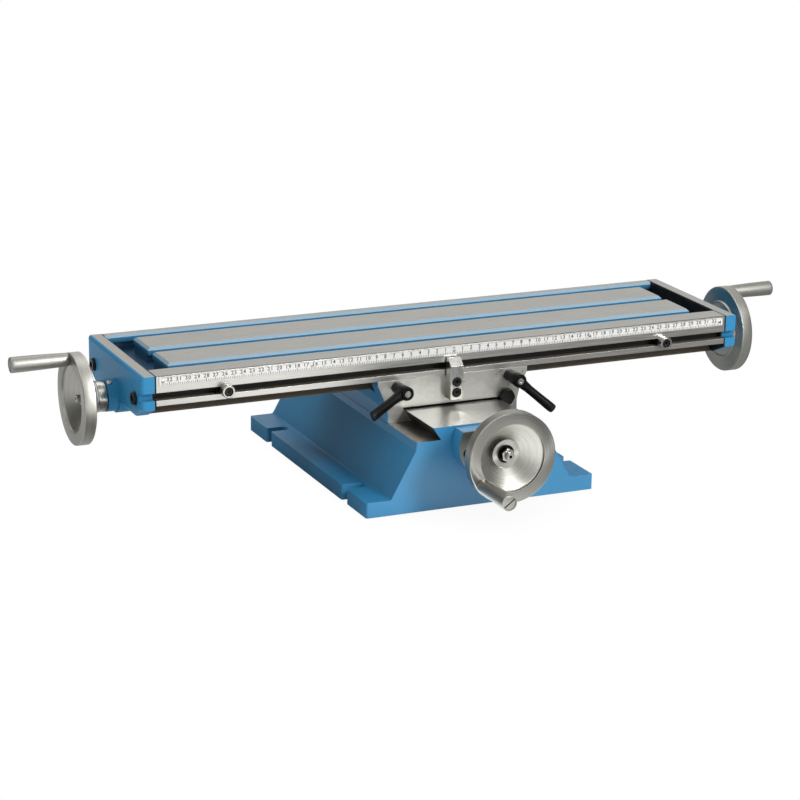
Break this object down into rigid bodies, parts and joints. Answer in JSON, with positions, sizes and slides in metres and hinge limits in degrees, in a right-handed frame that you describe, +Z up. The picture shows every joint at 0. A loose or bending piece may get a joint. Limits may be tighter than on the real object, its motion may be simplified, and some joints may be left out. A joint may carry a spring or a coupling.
{
  "type": "cross slide table",
  "caption": "Compound cross slide table: a T-slotted table and a saddle slide at right angles on dovetails over a flanged base, each moved by a lead screw with dished handwheels.",
  "frame": {"origin": "on the floor, under the middle of the saddle with both slides at mid travel", "axes": "+X along the table's long travel, +Y away from the front handwheel, +Z up"},
  "size_m": [0.9184, 0.4727, 0.1628],
  "materials": {
    "base_enamel": "satin enamel",
    "saddle_enamel": "satin enamel, machined front face",
    "plate_enamel": "satin enamel, ground top edge",
    "table_iron": "ground",
    "bright_steel": "ground",
    "black_steel": "black oxide",
    "wheel_aluminium": "turned",
    "grip_aluminium": "turned",
    "dial_steel": "satin with fine graduations",
    "bronze": "machined",
    "gib_iron": "ground",
    "black_plastic": "moulded",
    "scale_metal": "satin with printed graduations"
  },
  "bodies": {
    "base": {"base_casting": "base_enamel", "cross_bracket": "base_enamel", "cross_bracket_screws": "black_steel", "cross_bush": "bronze"},
    "cross_screw": {"cross_lead_screw": "bright_steel", "cross_thrust_washers": "bright_steel", "front_handwheel": "wheel_aluminium", "front_wheel_key": "bright_steel", "front_hub_nut": "bright_steel", "front_grip_pin": "bright_steel"},
    "front_dial_ring": {"front_dial": "dial_steel"},
    "front_grip_sleeve": {"front_grip": "grip_aluminium"},
    "saddle": {"saddle_casting": "saddle_enamel", "long_gib": "gib_iron", "cross_gib": "gib_iron", "cross_gib_bolt": "black_steel", "stop_block": "bright_steel", "stop_block_screws": "black_steel", "long_nut": "bronze", "long_nut_screws": "black_steel", "cross_nut": "bronze", "cross_nut_screws": "black_steel"},
    "left_lock": {"left_lock_stud": "bright_steel", "left_lock_handle": "black_plastic", "left_lock_screw": "bright_steel"},
    "right_lock": {"right_lock_stud": "bright_steel", "right_lock_handle": "black_plastic", "right_lock_screw": "bright_steel"},
    "table": {"table_casting": "table_iron", "left_end_plate": "plate_enamel", "right_end_plate": "plate_enamel", "left_plate_screws": "black_steel", "right_plate_screws": "black_steel", "left_bush": "bronze", "right_bush": "bronze", "nose_oilers": "bright_steel", "scale_strip": "scale_metal", "scale_rivets": "bright_steel"},
    "long_screw": {"long_lead_screw": "bright_steel", "long_thrust_washers": "bright_steel", "left_handwheel": "wheel_aluminium", "right_handwheel": "wheel_aluminium", "left_wheel_key": "bright_steel", "right_wheel_key": "bright_steel", "left_hub_nut": "bright_steel", "right_hub_nut": "bright_steel", "left_grip_pin": "bright_steel", "right_grip_pin": "bright_steel"},
    "left_dial_ring": {"left_dial": "dial_steel"},
    "right_dial_ring": {"right_dial": "dial_steel"},
    "left_grip_sleeve": {"left_grip": "grip_aluminium"},
    "right_grip_sleeve": {"right_grip": "grip_aluminium"},
    "left_stop": {"left_stop_collar": "bright_steel", "left_stop_screw": "black_steel", "left_stop_nut": "black_steel"},
    "right_stop": {"right_stop_collar": "bright_steel", "right_stop_screw": "black_steel", "right_stop_nut": "black_steel"}
  },
  "joints": [
    {"name": "cross_screw_turn", "type": "hinge", "parent": "base", "child": "cross_screw", "pos_m": [0, -0.2, 0.0715], "axis": [0, -1, 0], "range_deg": [-7875, 7875]},
    {"name": "saddle_slide", "type": "slide", "parent": "base", "child": "saddle", "axis": [0, 1, 0], "range_m": [-0.0875, 0.0875]},
    {"name": "table_slide", "type": "slide", "parent": "saddle", "child": "table", "axis": [1, 0, 0], "range_m": [-0.24, 0.24]},
    {"name": "long_screw_turn", "type": "hinge", "parent": "table", "child": "long_screw", "pos_m": [0, 0, 0.113], "axis": [1, 0, 0], "range_deg": [-21600, 21600]},
    {"name": "front_dial_turn", "type": "hinge", "parent": "cross_screw", "child": "front_dial_ring", "pos_m": [0, -0.2075, 0.0715], "axis": [0, -1, 0], "continuous": true},
    {"name": "left_dial_turn", "type": "hinge", "parent": "long_screw", "child": "left_dial_ring", "pos_m": [-0.368, 0, 0.113], "axis": [-1, 0, 0], "continuous": true},
    {"name": "right_dial_turn", "type": "hinge", "parent": "long_screw", "child": "right_dial_ring", "pos_m": [0.368, 0, 0.113], "axis": [1, 0, 0], "continuous": true},
    {"name": "front_grip_turn", "type": "hinge", "parent": "cross_screw", "child": "front_grip_sleeve", "pos_m": [-0.03354, -0.2636, 0.04622], "axis": [0, -1, 0], "continuous": true},
    {"name": "left_grip_turn", "type": "hinge", "parent": "long_screw", "child": "left_grip_sleeve", "pos_m": [-0.4241, 0.00729, 0.15436], "axis": [-1, 0, 0], "continuous": true},
    {"name": "right_grip_turn", "type": "hinge", "parent": "long_screw", "child": "right_grip_sleeve", "pos_m": [0.4241, 0.01907, 0.15042], "axis": [1, 0, 0], "continuous": true},
    {"name": "left_lock_turn", "type": "hinge", "parent": "saddle", "child": "left_lock", "pos_m": [-0.0662, -0.105, 0.115], "axis": [0, -1, 0], "range_deg": [-60, 30]},
    {"name": "right_lock_turn", "type": "hinge", "parent": "saddle", "child": "right_lock", "pos_m": [0.0662, -0.105, 0.115], "axis": [0, -1, 0], "range_deg": [-15, 60]},
    {"name": "left_stop_slide", "type": "slide", "parent": "table", "child": "left_stop", "axis": [1, 0, 0], "range_m": [-0.055, 0]},
    {"name": "right_stop_slide", "type": "slide", "parent": "table", "child": "right_stop", "axis": [1, 0, 0], "range_m": [0, 0.055]}
  ],
  "couplings": [
    {"joint": "long_screw_turn", "follows": "table_slide", "rad_per_m": 1570.8},
    {"joint": "cross_screw_turn", "follows": "saddle_slide", "rad_per_m": 1570.8}
  ]
}
